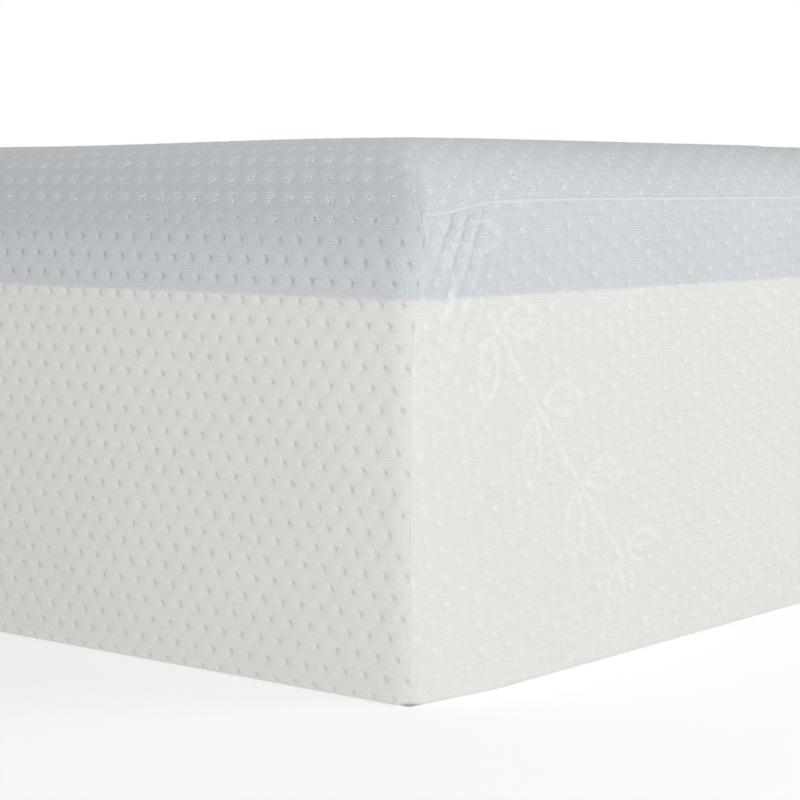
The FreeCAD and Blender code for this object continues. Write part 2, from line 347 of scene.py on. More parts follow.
def sprig(sideways, upright, start, period):
    """The woven sprigs: slanting stems of leaves that repeat over the cloth at wide intervals."""
    x = (sideways - start[0] - period[0] / 2).nearest(period[0]) + period[0] / 2
    y = (upright - start[1] + period[1] / 2).nearest(period[1]) - period[1] / 2
    along = x * math.cos(STEM_SLOPE) + y * math.sin(STEM_SLOPE)
    across = y * math.cos(STEM_SLOPE) - x * math.sin(STEM_SLOPE)
    lengthwise = along.ramp(-1, 1) * (1 - along.ramp(STEM_LENGTH, STEM_LENGTH + 2))
    window = lengthwise * (1 - abs(across).ramp(SPRIG_HALF_WIDTH, SPRIG_HALF_WIDTH + 1))
    return leaf_outline(along - STEM_FOOT, across) * window


# ------------------------------------------------------------------- materials


def folds_in(from_side, high):
    """The light and shade on the flanks of the gathered folds, from places in millimetres."""
    down = SEAM_Z / MM - high
    flank = from_side + down * 0.5 - (GATHER_START + 5.0)
    return flank.wave(GATHER_PITCH) * (from_side - GATHER_MIDDLE).bell(12.0) * (down - 8.0).bell(17.0)


def knit_cloth(name, sizes, colours, steps=None, turned=False, motif=None):
    """Double-jersey knit: fine ribs, slanting dimples, woven sprigs, and the tint of the foam behind it. Its
    colour also carries painted shade and painted highlights: in the ribs' grooves, in and beside the dimples,
    on the folds and under the rounded top edge.
    """
    paint = Paint(name)
    across, along, flat = paint.cloth_place()
    point = paint.place()
    pitch = sizes.rib_pitch / MM

    sway = (paint.noise(flat, 14.0) - 0.5) * 0.5
    across, along = across + sway, along + sway * 0.6
    ribs = across.wave(pitch)
    loops = (along + ribs * 0.12).wave(COURSE_PITCH)
    fibres = paint.noise(flat, 0.35, detail=3.0) - 0.5
    height = ribs * 0.032 + loops * 0.02 + fibres * 0.07

    x, y, high = paint.split(point)
    from_side = SIDE / MM - abs(y)
    wobble = (paint.noise(point, 9.0) - 0.5) * 0.7
    blue = (high + wobble).ramp(FOAM_SPLIT / MM - 1.0, FOAM_SPLIT / MM + 0.9)
    tint = paint.shade(blue, colours.over_core, colours.over_memory)

    grain = paint.noise(flat, 0.8) - 0.5
    light = 1.0 + (paint.noise(point, 55.0) - 0.5) * 0.05 + (paint.noise(flat, 3.2, 3.0) - 0.5) * 0.06
    lively = blue * 1.1 + 1.0
    # The ribs and courses lighten the colour on their crests and darken it in their grooves: painted shade.
    # The fibres and grain are the yarn's own uneven tone. All of them show more where the blue foam lies
    # behind.
    light = light + (ribs * 0.020 + loops * 0.022 + fibres * 0.17 + grain * 0.15) * lively
    gloss = 0.78 + fibres * 0.2
    if steps:
        dx, dy = dimples(across, along, steps)
        specks = paint.noise(flat, 0.6, detail=1.0).ramp(0.5, 0.62)
        if turned:
            # On the ends each dimple is a raised knot. Its colour is lightened as a painted highlight, with
            # painted glints in it, and darkened below and to the left of it as a painted shadow.
            knot = ((dx * dx + dy * dy) * (-0.5 / KNOT_SIZE**2)).math("EXPONENT")
            painted_glints = knot * specks
            shadow = (dx + 1.3).bell(0.8) * (dy + 1.5).bell(0.8)
            height = height + knot * 0.08 - shadow * 0.06
            uneven = paint.noise(flat, 7.0).ramp(0.3, 0.65)
            relief = painted_glints * 0.10 + knot * uneven * 0.085 - shadow * uneven * 0.04
            # The folds by the seam's corners get painted light and shade as well.
            light = light + folds_in(from_side, high) * 0.05 + relief * (blue * 0.5 + 1.0)
        else:
            cos, sin = math.cos(DIMPLE_SLANT), math.sin(DIMPLE_SLANT)
            slit = (dx * cos + dy * sin).bell(0.95) * (dy * cos - dx * sin).bell(0.46)
            patch = (dx + 3.2).bell(1.9) * dy.bell(1.6)
            # Painted glints on the yarn beside each dimple.
            painted_glints = (dx - 0.5).bell(1.0) * (dy + 0.2).bell(1.1) * specks
            ends = x.ramp(END / MM - 16, END / MM - 4)
            # crest marks the rounded top edge, where the painted glints are stronger and the painted shade in
            # the slits is weaker.
            crest = high.ramp(146.0, 166.0) * (1 - ends * 0.25)
            # A painted shade in a band under the rounded top edge of the long sides.
            painted_shoulder_shade = (high - 161.0).bell(10.0) * (1 - from_side.ramp(4, 12))
            height = height - slit * 0.22
            # Painted shade in each dimple's slit, darker where the blue foam lies behind.
            light = light - slit * (0.22 - crest * 0.10) * (lively * 0.25 + 0.75)
            # Painted glints, the painted shade of the courses shown more strongly in a patch beside each
            # dimple, and the painted shade under the top edge.
            light = light + painted_glints * (0.12 + crest) + loops * patch * 0.05 - painted_shoulder_shade * 0.13
        gloss = gloss - painted_glints * 0.4
    if motif:
        sideways, upright = (along, across) if turned else (across, along)
        floats = (0.6 + sideways.wave(1.35) * 0.4) * (0.8 + upright.wave(2.4) * 0.2)
        thread = sprig(sideways, upright, *motif) * floats
        height = height + thread * 0.18
        light = light + thread * 0.15
        gloss = gloss - thread * 0.22
    surface = {"Sheen_Weight": 0.15, "Sheen_Roughness": 0.5, "Specular_IOR_Level": 0.35}
    return paint.finish(paint.dim(tint, light), gloss, height, **surface)


def seam_cloth(name, colours):
    """The same cloth rolled tight in a turned seam."""
    paint = Paint(name)
    point = paint.place()
    x, y, z = paint.split(point)
    fibres = paint.noise(point, 0.5, detail=3.0) - 0.5
    ribs = (x + y + z).wave(1.1)
    blue = z.ramp(FOAM_SPLIT / MM - 1.6, FOAM_SPLIT / MM + 1.4)
    tint = paint.shade(blue, colours.over_core, colours.over_memory)
    # A painted highlight: the welt along the top seam, above about 6 mm under the seam's height, is made up
    # to 11% lighter than the seams lower down.
    light = 1.03 + z.ramp(SEAM_Z / MM - 9, SEAM_Z / MM - 6) * 0.11 + ribs * 0.03 + fibres * 0.06
    return paint.finish(paint.dim(tint, light), 0.8, ribs * 0.05 + fibres * 0.06, Sheen_Weight=0.15)


def open_cell_foam(name, tint, cell):
    """Foam with open cells of a given size, in millimetres."""
    paint = Paint(name)
    point = paint.place()
    cells = paint.node("ShaderNodeTexVoronoi", inputs={"Vector": point, "Scale": 1 / cell})
    pores = paint.noise(point, cell * 5) - 0.5
    walls = cells.ramp(0.15, 0.75)
    light = 0.93 + walls * 0.08 + pores * 0.06
    return paint.finish(paint.dim(tint, light), 0.92, walls * 0.3 + pores * 0.2)


def woven_tape(name, tint, pitch=0.7):
    """Narrow woven tape: a fine herringbone of warp and weft."""
    paint = Paint(name)
    x, _, z = paint.split(paint.place())
    slant = abs(z.nearest(pitch * 4)) * 1.6
    weave = (x + slant).wave(pitch) * (z + x * 0.2).wave(pitch)
    light = 0.97 + weave * 0.05
    return paint.finish(paint.dim(tint, light), 0.75, weave * 0.06, Sheen_Weight=0.1)


def spun_thread(name, tint):
    """Twisted sewing thread."""
    paint = Paint(name)
    x, y, z = paint.split(paint.place())
    twist = (x + z * 0.7 + y * 0.7).wave(0.45)
    return paint.finish(paint.dim(tint, 0.96 + twist * 0.05), 0.62, twist * 0.04, Sheen_Weight=0.1)


def nylon(name, tint):
    """Smooth drawn nylon, slightly cloudy."""
    paint = Paint(name)
    cloud = paint.noise(paint.place(), 2.0) - 0.5
    return paint.finish(paint.dim(tint, 0.98 + cloud * 0.06), 0.34 + cloud * 0.1, Coat_Weight=0.2)


def cast_metal(name, tint):
    """Tumbled zinc casting with a nickel finish: satin, with faint scratches and rubbed spots."""
    paint = Paint(name)
    point = paint.place()
    stretched = paint.node("ShaderNodeMapping", inputs={"Vector": point, "Scale": (0.25, 2.0, 2.0)})
    scratches = paint.noise(stretched, 0.5, detail=4.0) - 0.5
    rubbed = paint.noise(point, 5.0) - 0.5
    rough = 0.30 + rubbed * 0.22 + scratches * 0.12
    tone = paint.dim(tint, 1.0 + rubbed * 0.10)
    return paint.finish(tone, rough, scratches * 0.05, Metallic=1.0)


def satin_label(name, tint):
    """Blank satin ribbon: long floats along the label."""
    paint = Paint(name)
    _, along, flat = paint.cloth_place()
    floats = along.wave(0.42) + (paint.noise(flat, 1.3) - 0.5)
    return paint.finish(paint.dim(tint, 0.98 + floats * 0.02), 0.46, floats * 0.02, Sheen_Weight=0.2)


def dried_glue(name):
    """Clear sprayed bond with pale specks."""
    paint = Paint(name)
    specks = paint.noise(paint.place(), 3.0, detail=3.0).ramp(0.45, 0.6)
    tint = paint.shade(specks, (0.70, 0.68, 0.58), (0.86, 0.85, 0.80))
    return paint.finish(tint, 0.35 + specks * 0.3, specks * 0.1)


def studio_floor(name):
    """Pale seamless paper, with a trace of tooth."""
    paint = Paint(name)
    tooth = paint.noise(paint.place(), 4.0, detail=3.0) - 0.5
    white = paint.dim((0.93, 0.93, 0.925), 1.0 + tooth * 0.02)
    glow = {"Emission_Color": (1.0, 1.0, 1.0, 1.0), "Emission_Strength": 0.23}
    return paint.finish(white, 0.95, Specular_IOR_Level=0.1, **glow)


# ------------------------------------------------------------ shapes in common


def new_piece(name, bm, material, smooth=True):
    """Makes a bmesh into a named object with one material."""
    mesh = bpy.data.meshes.new(name)
    bm.to_mesh(mesh)
    bm.free()
    mesh.materials.append(material)
    mesh.polygons.foreach_set("use_smooth", [smooth] * len(mesh.polygons))
    piece = bpy.data.objects.new(name, mesh)
    bpy.context.scene.collection.objects.link(piece)
    return piece


def fit(piece, node):
    """Puts a piece on the mattress, in place of its node."""
    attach(piece, "mattress")
    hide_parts(node)


def repaint(node, material):
    """Gives a CAD node a better material."""
    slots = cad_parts[node].data.materials
    slots.clear()
    slots.append(material)


def ease(value):
    """From 0 to 1 with soft ends."""
    value = np.clip(value, 0, 1)
    return value * value * (3 - 2 * value)


def even_steps(*runs):
    """Places along a line: each run is (start, end, longest step), and is divided evenly."""
    places = []
    for start, end, step in runs:
        count = max(1, round(abs(end - start) / step))
        places.extend(start + (end - start) * i / count for i in range(count))
    return np.array(places + [runs[-1][1]])


def flat_cloth(across, along):
    """A flat grid with its lines at the given places: x is across and y is along."""
    bm = bmesh.new()
    columns, rows = len(across) - 1, len(along) - 1
    bmesh.ops.create_grid(bm, x_segments=columns, y_segments=rows, size=0.5)
    for vert in bm.verts:
        vert.co.x = across[round((vert.co.x + 0.5) * columns)]
        vert.co.y = along[round((vert.co.y + 0.5) * rows)]
    return bm


def refine(bm, inside, cuts, sideways):
    """Cuts up the edges that run one way, where their middles are inside a region."""
    chosen = []
    for edge in bm.edges:
        run = edge.verts[1].co - edge.verts[0].co
        middle = (edge.verts[0].co + edge.verts[1].co) / 2
        if (abs(run.x) > abs(run.y)) == sideways and inside(middle.x, middle.y):
            chosen.append(edge)
    bmesh.ops.subdivide_edges(bm, edges=chosen, cuts=cuts, use_grid_fill=True)


def keep_flat_places(bm):
    """Stores each point's place on the flat cloth as the UV map called cloth."""
    layer = bm.loops.layers.uv.new("cloth")
    for face in bm.faces:
        for loop in face.loops:
            loop[layer].uv = loop.vert.co.xy


def cut_away(bm, inside):
    """Removes the faces whose middles are inside a region."""
    gone = [face for face in bm.faces if inside(*face.calc_center_median().xy)]
    bmesh.ops.delete(bm, geom=gone, context="FACES")


def face_towards(bm, way):
    """Turns the faces of an open sheet so that, on the whole, they point that way."""
    bmesh.ops.recalc_face_normals(bm, faces=bm.faces[:])
    if sum(face.normal.dot(way) * face.calc_area() for face in bm.faces) < 0:
        bmesh.ops.reverse_faces(bm, faces=bm.faces[:])


def rounding(distance, radius):
    """How far a rounded edge has fallen back, at a distance in from the edge."""
    return radius - np.sqrt(radius**2 - np.clip(radius - distance, 0, radius) ** 2)


def places_of(bm):
    """The bmesh's points as an array."""
    return np.array([vert.co for vert in bm.verts])


def move_to(bm, places):
    """Moves the bmesh's points to an array's places."""
    for vert, place in zip(bm.verts, places):
        vert.co = place


def puffs(across, along, steps):
    """How far the cloth stands up between its dimples: 1 on the puffs and 0 in the dimples."""
    (ax, ay), (bx, by) = steps
    area = ax * by - ay * bx
    first = (across * by - along * bx) / area / MM
    second = (along * ax - across * ay) / area / MM
    swell = np.cos(TAU * first) + np.cos(TAU * second) + np.cos(TAU * (first + second))
    return 1 - ((swell + 1.5) / 4.5) ** 2


# ---------------------------------------------------------------- cover shapes


def seam_height(from_side, sizes):
    """Height of the end seam at a distance from the mattress's side: it dips at the corners."""
    return SEAM_Z - sizes.seam_dip / (1 + (from_side / DIP_WIDTH) ** 4)


def seam_inset(height):
    """How far in from the side the upright end seam lies at a height."""
    turn = ease((height - CORNER_SEAM_TURN) / (SEAM_Z - CORNER_SEAM_TURN - 4.5 * MM)) ** 1.5
    return CORNER_SEAM_LOW + (CORNER_SEAM_HIGH - CORNER_SEAM_LOW) * turn


def seam_corner(sizes):
    """Where the top and the upright end seams meet: (distance from the side, height)."""
    height = seam_height(CORNER_SEAM_HIGH, sizes)
    return seam_inset(height), height


def side_profile(width, sizes):
    """Cloth laid over the top and down a side: how far out, how high, its bend and its outward direction."""
    radius = sizes.top_radius
    flat = SIDE - radius
    quarter = radius * math.pi / 2
    over = np.clip((width - flat) / radius, 0, math.pi / 2)
    run = TOP - radius - BOTTOM_RADIUS
    straight = np.clip(width - flat - quarter, 0, run)
    under = np.clip((width - flat - quarter - run) / BOTTOM_RADIUS, 0, math.pi / 2)
    out = np.minimum(width, flat) + radius * np.sin(over) - BOTTOM_RADIUS * (1 - np.cos(under))
    height = TOP - radius * (1 - np.cos(over)) - straight - BOTTOM_RADIUS * np.sin(under)
    return out, height, over, np.sin(over) * np.cos(under), np.cos(over) - np.sin(under)


def seam_target(width, sizes):
    """Where each line of the main panel meets the end seam: (distance from the middle, height)."""
    radius = sizes.top_radius
    out, height, *_ = side_profile(width, sizes)
    start = SIDE - radius - CORNER_REACH
    end = SIDE - radius + radius * math.pi / 2 + SEAM_REACH
    corner_inset, corner_height = seam_corner(sizes)
    top_run = radius + CORNER_REACH - corner_inset
    run = top_run + corner_height - (TOP - radius - SEAM_REACH)
    share = np.clip((width - start) / (end - start), 0, 1)
    slope = (end - start) / run
    travel = run * (ease(share) + slope * share * (1 - share) * (1 - 2 * share))
    on_top = travel <= top_run
    from_side = np.where(on_top, radius + CORNER_REACH - travel, corner_inset)
    drop = corner_height - (travel - top_run)
    turn_out = np.where(on_top, SIDE - from_side, SIDE - seam_inset(drop))
    turn_height = np.where(on_top, seam_height(from_side, sizes), drop)
    before, after = width <= start, width >= end
    target_out = np.where(after, out - seam_inset(height), turn_out)
    target_height = np.where(before, seam_height(SIDE - width, sizes), np.where(after, height, turn_height))
    return np.where(before, width, target_out), target_height


def main_panel_places(length, width, sizes):
    """Lays flat cloth over the top and sides. Past the flat part, length is a share of what reaches the seam.
    Gives the points, the outward directions, the distances to the seam and the flat lengths."""
    radius, small = sizes.top_radius, sizes.corner_radius
    flat_end = END - radius
    side_sign, end_sign = np.sign(width), np.sign(length)
    out, height, over, out_y, out_z = side_profile(abs(width), sizes)
    target_out, target_height = seam_target(abs(width), sizes)
    way = np.stack([target_out - out, target_height - height])
    reach = np.maximum(np.hypot(*way), 1e-6)
    way = way / reach

    bend = radius + (small - radius) * ease(over / (math.pi / 2))
    level = radius - bend
    last = np.arccos(np.clip(1 - reach / bend, 0, 1))
    rest = np.maximum(reach - bend, 0)
    longest = level + bend * last + rest

    past = np.clip(abs(length) - flat_end, 0, 1)
    cloth = past * longest
    angle = np.clip((cloth - level) / bend, 0, last)
    beyond = np.clip(cloth - level - bend * last, 0, None)
    x = np.minimum(abs(length), flat_end) + np.minimum(cloth, level) + bend * np.sin(angle)
    inward = bend * (1 - np.cos(angle)) + beyond
    y = out + way[0] * inward
    z = height + way[1] * inward

    norm = np.maximum(np.hypot(out_y, out_z), 1e-6)
    normal = np.stack([np.sin(angle), np.cos(angle) * out_y / norm, np.cos(angle) * out_z / norm], axis=1)
    points = np.stack([end_sign * x, side_sign * y, z], axis=1)
    normal[:, 0] *= end_sign
    normal[:, 1] *= side_sign
    flat_length = end_sign * (np.minimum(abs(length), flat_end) + cloth)
    to_seam = np.where(abs(length) > flat_end, longest - cloth, longest + flat_end - abs(length))
    return points, normal, to_seam, flat_length


def side_bulge(points, sizes):
    """Outward swelling of the sides and ends at mid-height, fading towards the edges."""
    rise = np.clip(points[:, 2] / TOP, 0, 1)
    return sizes.bulge * np.sin(math.pi * rise) ** 1.3


def pinch(points, sizes):
    """The pucker where three seams meet at each upper corner."""
    inset, height = seam_corner(sizes)
    away = np.hypot(abs(points[:, 1]) - (SIDE - inset), points[:, 2] - height)
    away = np.hypot(away, np.clip(END - 10 * MM - abs(points[:, 0]), 0, None))
    return PUCKER_DEPTH * np.exp(-((away / PUCKER_WIDTH) ** 2))


def toe(points, sizes):
    """How far the foot of each end is pressed outwards, away from the upright corners."""
    spread = ease((SIDE - abs(points[:, 1])) / TOE_SPREAD) * ease(1 - points[:, 2] / TOE_HEIGHT)
    return sizes.toe * spread * ease((abs(points[:, 0]) - END + TOE_REACH) / (0.9 * TOE_REACH))


def crest(points):
    """How the top stands a little higher at the ends than between them."""
    inner = ease((END - abs(points[:, 0]) - 40 * MM) / (160 * MM))
    middle = ease((SIDE - abs(points[:, 1])) / (80 * MM))
    level = CREST_EDGE + CREST_MIDDLE * middle * (1 - inner) - CREST_FALL * inner
    return level * ease((points[:, 2] - (TOP - 24 * MM)) / (20 * MM))


def main_panel(sizes):
    """The cloth over the top and both long sides, as a bmesh."""
    radius = sizes.top_radius
    quarter = radius * math.pi / 2
    flat_end, flat_side = END - radius, SIDE - radius
    side_run = TOP - radius - BOTTOM_RADIUS
    hem = BOTTOM_RADIUS * (math.pi / 2 - BASE_WRAP)
    whole = flat_side + quarter + side_run + hem
    window_top = flat_side + quarter + (TOP - radius - WINDOW_HIGH)
    shares = even_steps((0.0, 1.0, 1 / ROUND_CELLS))
    near = END - NEAR_LENGTH
    length = np.concatenate(
        [
            -flat_end - shares[::-1],
            even_steps(
                (-flat_end, -WINDOW_END, WIDE_CELL),
                (-WINDOW_END, near, WIDE_CELL),
                (near, WINDOW_END, NEAR_CELL),
                (WINDOW_END, flat_end, NEAR_CELL),
            )[1:-1],
            flat_end + shares,
        ]
    )
    near_top = -SIDE + NEAR_WIDTH
    width = even_steps(
        (-whole, -whole + hem, hem / 2),
        (-whole + hem, -flat_side - quarter, NEAR_CELL),
        (-flat_side - quarter, -flat_side, quarter / ROUND_CELLS),
        (-flat_side, near_top, NEAR_CELL),
        (near_top, flat_side, WIDE_CELL),
        (flat_side, flat_side + quarter, quarter / ROUND_CELLS),
        (flat_side + quarter, window_top, WIDE_CELL),
        (window_top, whole - hem, NEAR_CELL),
        (whole - hem, whole, hem / 2),
    )
    bm = flat_cloth(length, width)
    cut_away(bm, lambda x, y: abs(x) < WINDOW_END and y > window_top)

    cuts = sizes.fine_cuts
    half_cuts = (cuts + 1) // 2 - 1

    def visible(x, y):
        beside = x > near and y < -flat_side + NEAR_CELL
        return beside or (x > flat_end - NEAR_CELL and y < near_top)

    refine(bm, lambda x, y: visible(x, y) and x < flat_end, cuts, True)
    refine(bm, lambda x, y: visible(x, y) and x > flat_end, half_cuts, True)
    rounded = (-flat_side - quarter, -flat_side)
    refine(bm, lambda x, y: visible(x, y) and not rounded[0] < y < rounded[1], cuts, False)
    refine(bm, lambda x, y: visible(x, y) and rounded[0] < y < rounded[1], half_cuts, False)

    flat = places_of(bm)
    points, normal, to_seam, flat_length = main_panel_places(flat[:, 0], flat[:, 1], sizes)
    skew = DIMPLE_SHIFT * np.tanh((abs(flat[:, 1]) - flat_side - quarter - 2.5 * MM) / SKEW_WIDTH)
    laid = np.stack([flat_length + skew, flat[:, 1], np.zeros(len(flat))], axis=1)
    move_to(bm, laid)
    keep_flat_places(bm)

    puffed = puffs(laid[:, 0], laid[:, 1], SIDE_DIMPLES)
    to_edge = (whole - abs(flat[:, 1])) / (3 * MM)
    fine = (flat[:, 0] > near) & (flat[:, 1] < near_top)
    upright = np.abs(normal[:, 2]) < 0.5
    lift = relief(points, sizes, puffed, to_seam, to_edge, fine, upright)
    points[:, 2] += crest(points)
    move_to(bm, points + normal * lift[:, None])
    bmesh.ops.recalc_face_normals(bm, faces=bm.faces[:])
    return bm, (2 * whole, 2 * (flat_end + END_TURN))


def fallen_back(y, height, sizes):
    """How far the rounded edges of an end lie behind its flat middle."""
    back = rounding(SIDE - abs(y), sizes.corner_radius) + rounding(TOP - height, sizes.top_radius)
    return back + rounding(height, BOTTOM_RADIUS)


def end_panel_places(width, rise, sizes):
    """The face of the right end panel, from its share of the width and of the height."""
    half = SIDE - CORNER_SEAM_LOW
    height = PANEL_FOOT + rise * (seam_height(SIDE - abs(width) * half, sizes) - PANEL_FOOT)
    y = width * (SIDE - seam_inset(height))
    return np.stack([END - fallen_back(y, height, sizes), y, height], axis=1)


def relief(points, sizes, puffed, to_seam, to_edge, fine=True, swells=1):
    """How far the cloth stands off its plain shape: its puffs, the swell of its slack and the seams' pull."""
    lift = sizes.puff * (puffed - 1) * ease(to_seam / PUFF_FADE) * ease(to_edge)
    lift = np.where(fine, lift, PLAIN_LEVEL * sizes.puff)
    lift = lift + side_bulge(points, sizes) * swells * ease(to_seam / BULGE_FADE)
    return lift - SEAM_SINK * np.exp(-((to_seam / SEAM_PULL) ** 2)) - pinch(points, sizes)


def gathers(points, sizes):
    """Small folds that run down and inwards from the end seam near its corners."""
    from_side = (SIDE - abs(points[:, 1])) / MM
    down = (seam_height(SIDE - abs(points[:, 1]), sizes) - points[:, 2]) / MM
    line = from_side + 0.5 * down
    near_corner = np.exp(-(((from_side - GATHER_MIDDLE) / GATHER_SPREAD) ** 2))
    fade = np.exp(-down / GATHER_DEPTH) * ease(down / 3)
    waves = -np.cos(TAU * (line - GATHER_START) / GATHER_PITCH)
    beyond = np.exp(-(((from_side - SLACK_MIDDLE) / SLACK_SPREAD) ** 2))
    slack = 0.35 * beyond * np.cos(TAU * line / SLACK_PITCH)
    return sizes.gather * fade * (near_corner * waves + slack)


def end_panel(sizes, sign):
    """The cloth of one end, as a bmesh."""
    high = END_PANEL_HIGH.z
    near = -1 + NEAR_WIDTH / SIDE
    cell = NEAR_CELL / SIDE
    across = even_steps((-1, near, cell), (near, 1 - 6 * cell, 3 * cell), (1 - 6 * cell, 1, cell))
    bm = flat_cloth(across, even_steps((0, 1, NEAR_CELL / high)))
    if sign > 0:
        refine(bm, lambda x, y: x < near, sizes.fine_cuts, True)
        refine(bm, lambda x, y: x < near, sizes.fine_cuts, False)
    flat = places_of(bm)
    points = end_panel_places(flat[:, 0], flat[:, 1], sizes)
    move_to(bm, np.stack([points[:, 2], points[:, 1], np.zeros(len(flat))], axis=1))
    keep_flat_places(bm)

    to_seam = np.minimum(
        seam_height(SIDE - abs(points[:, 1]), sizes) - points[:, 2],
        SIDE - seam_inset(points[:, 2]) - abs(points[:, 1]),
    )
    puffed = puffs(points[:, 2], points[:, 1], END_DIMPLES)
    lift = relief(points, sizes, puffed, to_seam, points[:, 2] / (6 * MM), fine=sign > 0)
    points[:, 0] += lift + gathers(points, sizes) + toe(points, sizes)
    points[:, 0] *= sign
    move_to(bm, points)
    face_towards(bm, Vector((sign, 0, 0)))
    return bm


def base_panel(sizes):
    """The plain cloth under the mattress, turned up at the rear to the zip, as a bmesh."""
    flat_x, flat_y = END - BOTTOM_RADIUS, SIDE - BOTTOM_RADIUS
    turn = BOTTOM_RADIUS * BASE_WRAP
    quarter = BOTTOM_RADIUS * math.pi / 2
    rise = WINDOW_LOW - BOTTOM_RADIUS
    across = even_steps(
        (-flat_x - turn, -flat_x, turn / 3),
        (-flat_x, -WINDOW_END, WIDE_CELL),
        (-WINDOW_END, WINDOW_END, WIDE_CELL),
        (WINDOW_END, flat_x, WIDE_CELL),
        (flat_x, flat_x + turn, turn / 3),
    )
    along = even_steps(
        (-flat_y - turn, -flat_y, turn / 3),
        (-flat_y, flat_y, WIDE_CELL),
        (flat_y, flat_y + turn, turn / 3),
        (flat_y + turn, flat_y + quarter, turn / 3),
        (flat_y + quarter, flat_y + quarter + rise, rise / 2),
    )
    bm = flat_cloth(across, along)
    cut_away(bm, lambda x, y: abs(x) > WINDOW_END and y > flat_y + turn)
    keep_flat_places(bm)
    flat = places_of(bm)

    def turned_up(place, level):
        angle = np.clip((abs(place) - level) / BOTTOM_RADIUS, 0, math.pi / 2)
        straight = np.clip(abs(place) - level - quarter, 0, None)
        out = np.minimum(abs(place), level) + BOTTOM_RADIUS * np.sin(angle)
        return np.sign(place) * out, BOTTOM_RADIUS * (1 - np.cos(angle)) + straight

    x, rise_x = turned_up(flat[:, 0], flat_x)
    y, rise_y = turned_up(flat[:, 1], flat_y)
    points = np.stack([x, y, np.maximum(rise_x, rise_y)], axis=1)
    points[:, 0] += np.sign(points[:, 0]) * toe(points, sizes)
    move_to(bm, points)
    face_towards(bm, Vector((0, 0, -1)))
    return bm, (2 * (flat_y + turn), 2 * (flat_x + turn))


def rope(name, route, radius, material, shares=None):
    """A round welt along a route, with its radius times each point's share, as a mesh."""
    curve = bpy.data.curves.new(name, "CURVE")
    curve.dimensions = "3D"
    curve.bevel_depth = radius
    curve.bevel_resolution = 2
    curve.use_fill_caps = True
    spline = curve.splines.new("POLY")
    spline.points.add(len(route) - 1)
    for point, place, share in zip(spline.points, route, shares or [1.0] * len(route)):
        point.co = (*place, 1.0)
        point.radius = share
    maker = bpy.data.objects.new(name + "_route", curve)
    bpy.context.scene.collection.objects.link(maker)
    bpy.context.view_layer.update()
    mesh = bpy.data.meshes.new_from_object(maker.evaluated_get(bpy.context.evaluated_depsgraph_get()))
    bpy.data.objects.remove(maker)
    bm = bmesh.new()
    bm.from_mesh(mesh)
    bmesh.ops.remove_doubles(bm, verts=bm.verts, dist=1e-6)
    bmesh.ops.recalc_face_normals(bm, faces=bm.faces[:])
    return new_piece(name, bm, material)


def end_seam_route(sizes, sign):
    """The line of one end's seam: up one corner, along the top and down the other corner."""
    corner_inset, corner_height = seam_corner(sizes)
    rises = even_steps((PANEL_FOOT, CORNER_SEAM_TURN, 8 * MM), (CORNER_SEAM_TURN, corner_height, 2 * MM))[:-1]
    side = SIDE - corner_inset
    tops = even_steps((-side, -SIDE + 120 * MM, 2 * MM), (-SIDE + 120 * MM, 0, 12 * MM))
    half = [(-(SIDE - seam_inset(rise)), rise) for rise in rises]
    half += [(y, seam_height(SIDE - abs(y), sizes)) for y in tops]
    line = half + [(-y, z) for y, z in reversed(half[:-1])]
    y, z = np.array(line).T
    return np.stack([sign * (END - fallen_back(y, z, sizes) - SEAM_BEHIND), y, z], axis=1)


def base_seam_route(sizes, welt):
    """The line of the base's seam: round three sides of the base, from one end of the zip to the other."""
    inset = BOTTOM_RADIUS * (1 - math.sin(BASE_WRAP))
    height = max(PANEL_FOOT, welt)
    x, y, bend = END - inset, SIDE - inset, sizes.corner_radius - inset
    route = [(WINDOW_END, y, height)]
    for end, side, start in ((1, 1, 90), (1, -1, 0), (-1, -1, -90), (-1, 1, -180)):
        for turn in range(0, 91, 15):
            angle = math.radians(start - turn)
            corner_x = end * (x - bend) + bend * math.cos(angle)
            route.append((corner_x, side * (y - bend) + bend * math.sin(angle), height))
        if end == side:
            route += [(end * x, side * place, height) for place in even_steps((y - 0.02, 0.02 - y, 0.02))]
    route = np.array([*route, (-WINDOW_END, y, height)])
    route[:, 0] += np.sign(route[:, 0]) * toe(route, sizes)
    return route


def capsule(length, radius):
    """One stitch: a short thread with round ends, along X."""
    bm = bmesh.new()
    turn = Matrix.Rotation(math.pi / 2, 4, "Y")
    bmesh.ops.create_uvsphere(bm, u_segments=6, v_segments=4, radius=radius, matrix=turn)
    for vert in bm.verts:
        if abs(vert.co.x) > 1e-6:
            vert.co.x += math.copysign(length / 2 - radius, vert.co.x)
    return bm


def copies(bm, matrices):
    """A bmesh with one copy of the given one at each matrix."""
    mesh = bpy.data.meshes.new("copy")
    places = [vert.co.copy() for vert in bm.verts]
    many = bmesh.new()
    for matrix in matrices:
        move_to(bm, [matrix @ place for place in places])
        bm.to_mesh(mesh)
        many.from_mesh(mesh)
    bm.free()
    bpy.data.meshes.remove(mesh)
    return many


def row_of(bm, count, step, start):
    """A bmesh repeated along X, starting at a point."""
    return copies(bm, [Matrix.Translation(start + Vector((step * i, 0, 0))) for i in range(count)])


def round_edges(bm, edges, radius, segments):
    """Rounds those edges of a bmesh."""
    bmesh.ops.bevel(
        bm, geom=edges, offset=radius, segments=segments, profile=0.5, affect="EDGES", material=-1
    )


def rounded_block(low, high, bevel, segments=4):
    """A box between two corners, with all its edges rounded."""
    bm = bmesh.new()
    bmesh.ops.create_cube(bm, size=1.0)
    size = Vector(high) - Vector(low)
    middle = (Vector(high) + Vector(low)) / 2
    bmesh.ops.scale(bm, vec=size, verts=bm.verts)
    bmesh.ops.translate(bm, vec=middle, verts=bm.verts)
    if bevel:
        round_edges(bm, bm.edges[:], bevel, segments)
    return bm


